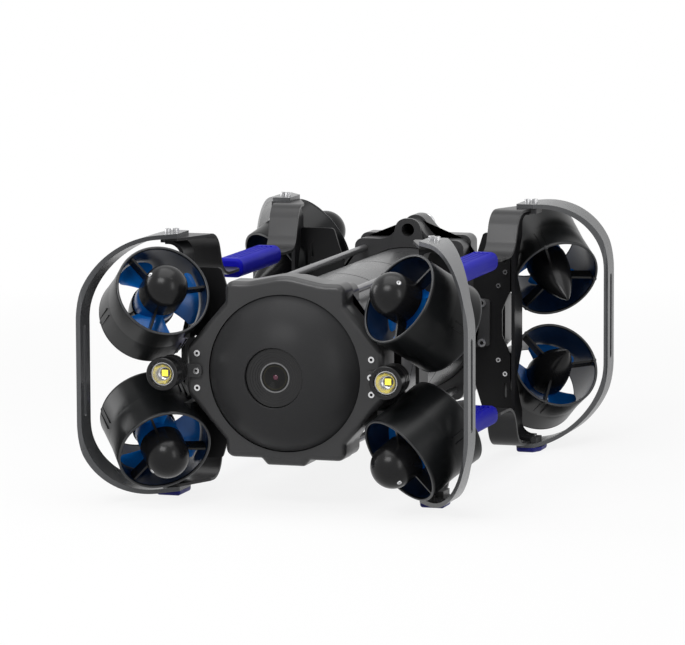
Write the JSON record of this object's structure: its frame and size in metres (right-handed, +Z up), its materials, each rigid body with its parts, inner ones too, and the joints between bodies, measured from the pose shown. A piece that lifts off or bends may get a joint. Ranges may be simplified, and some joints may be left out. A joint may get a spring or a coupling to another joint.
{
  "type": "underwater inspection vehicle",
  "caption": "Underwater inspection vehicle: tubular hull between end frames, bent bumper loops, side grips, lights and angled ducted thrusters.",
  "frame": {"origin": "middle of the part's footprint at the level its feet rest on", "axes": "+Z up, the camera dome faces -Y, +X to the right as seen from the front, which the names call right"},
  "size_m": [0.544, 0.7848, 0.364],
  "materials": {
    "frame_grey": "satin, fine grain",
    "hull_grey": "satin anodised",
    "rod_grey": "satin anodised",
    "dome_black": "satin",
    "port_glass": "polished",
    "camera_black": "matt",
    "board_green": "satin",
    "battery_sleeve": "satin",
    "cap_black": "satin anodised",
    "gland_metal": "satin",
    "bright_steel": "polished",
    "clamp_grey": "satin",
    "foot_blue": "matt",
    "loop_grey": "gloss anodised",
    "band_black": "satin",
    "plate_black": "satin",
    "duct_black": "satin moulded",
    "pod_black": "satin",
    "propeller_blue": "semi-gloss",
    "strap_black": "satin",
    "grip_blue": "satin rubber",
    "light_black": "satin anodised",
    "light_glass": "polished",
    "reflector_silver": "bright"
  },
  "bodies": {
    "chassis": {"front_end_frame": "frame_grey", "rear_end_frame": "frame_grey", "main_housing": "hull_grey", "tie_rods": "rod_grey", "dome_shroud": "dome_black", "lens_port": "port_glass", "camera_module": "camera_black", "electronics_tray": "board_green", "battery_pack": "battery_sleeve", "rear_end_cap": "cap_black", "rear_penetrators": "gland_metal", "screws": "bright_steel", "plate_clamps": "clamp_grey", "tab_blocks": "clamp_grey", "feet": "foot_blue", "bumper_loop_front_left": "loop_grey", "bumper_loop_front_right": "loop_grey", "bumper_loop_rear_left": "loop_grey", "bumper_loop_rear_right": "loop_grey", "inner_band_front_left": "band_black", "inner_band_front_right": "band_black", "inner_band_rear_left": "band_black", "inner_band_rear_right": "band_black", "corner_plate_front_left": "plate_black", "corner_plate_front_right": "plate_black", "corner_plate_rear_left": "plate_black", "corner_plate_rear_right": "plate_black", "duct_upper_front_left": "duct_black", "duct_lower_front_left": "duct_black", "duct_upper_front_right": "duct_black", "duct_lower_front_right": "duct_black", "duct_upper_rear_left": "duct_black", "duct_lower_rear_left": "duct_black", "duct_upper_rear_right": "duct_black", "duct_lower_rear_right": "duct_black", "thruster_pod_upper_front_left": "pod_black", "thruster_pod_lower_front_left": "pod_black", "thruster_pod_upper_front_right": "pod_black", "thruster_pod_lower_front_right": "pod_black", "thruster_pod_upper_rear_left": "pod_black", "thruster_pod_lower_rear_left": "pod_black", "thruster_pod_upper_rear_right": "pod_black", "thruster_pod_lower_rear_right": "pod_black", "upper_grip_straps": "strap_black", "lower_grip_straps": "strap_black", "upper_grips": "grip_blue", "lower_grips": "grip_blue", "light_bodies": "light_black", "light_brackets": "light_black", "light_lenses": "light_glass", "light_reflectors": "reflector_silver"},
    "shackle": {"lifting_shackle": "bright_steel"},
    "propeller_upper_front_left": {"propeller_upper_front_left": "propeller_blue"},
    "propeller_lower_front_left": {"propeller_lower_front_left": "propeller_blue"},
    "propeller_upper_front_right": {"propeller_upper_front_right": "propeller_blue"},
    "propeller_lower_front_right": {"propeller_lower_front_right": "propeller_blue"},
    "propeller_upper_rear_left": {"propeller_upper_rear_left": "propeller_blue"},
    "propeller_lower_rear_left": {"propeller_lower_rear_left": "propeller_blue"},
    "propeller_upper_rear_right": {"propeller_upper_rear_right": "propeller_blue"},
    "propeller_lower_rear_right": {"propeller_lower_rear_right": "propeller_blue"}
  },
  "joints": [
    {"name": "shackle_swing", "type": "hinge", "parent": "chassis", "child": "shackle", "pos_m": [0, 0.3385, 0.297], "axis": [1, 0, 0], "range_deg": [-130, 10]},
    {"name": "spin_upper_front_left", "type": "hinge", "parent": "chassis", "child": "propeller_upper_front_left", "pos_m": [-0.18146, -0.32397, 0.275], "axis": [0.5332, -0.6824, 0.5], "continuous": true},
    {"name": "spin_lower_front_left", "type": "hinge", "parent": "chassis", "child": "propeller_lower_front_left", "pos_m": [-0.18146, -0.32397, 0.091], "axis": [0.5332, -0.6824, -0.5], "continuous": true},
    {"name": "spin_upper_front_right", "type": "hinge", "parent": "chassis", "child": "propeller_upper_front_right", "pos_m": [0.18146, -0.32397, 0.275], "axis": [-0.5332, -0.6824, 0.5], "continuous": true},
    {"name": "spin_lower_front_right", "type": "hinge", "parent": "chassis", "child": "propeller_lower_front_right", "pos_m": [0.18146, -0.32397, 0.091], "axis": [-0.5332, -0.6824, -0.5], "continuous": true},
    {"name": "spin_upper_rear_left", "type": "hinge", "parent": "chassis", "child": "propeller_upper_rear_left", "pos_m": [-0.18146, 0.32397, 0.275], "axis": [0.5332, 0.6824, 0.5], "continuous": true},
    {"name": "spin_lower_rear_left", "type": "hinge", "parent": "chassis", "child": "propeller_lower_rear_left", "pos_m": [-0.18146, 0.32397, 0.091], "axis": [0.5332, 0.6824, -0.5], "continuous": true},
    {"name": "spin_upper_rear_right", "type": "hinge", "parent": "chassis", "child": "propeller_upper_rear_right", "pos_m": [0.18146, 0.32397, 0.275], "axis": [-0.5332, 0.6824, 0.5], "continuous": true},
    {"name": "spin_lower_rear_right", "type": "hinge", "parent": "chassis", "child": "propeller_lower_rear_right", "pos_m": [0.18146, 0.32397, 0.091], "axis": [-0.5332, 0.6824, -0.5], "continuous": true}
  ]
}
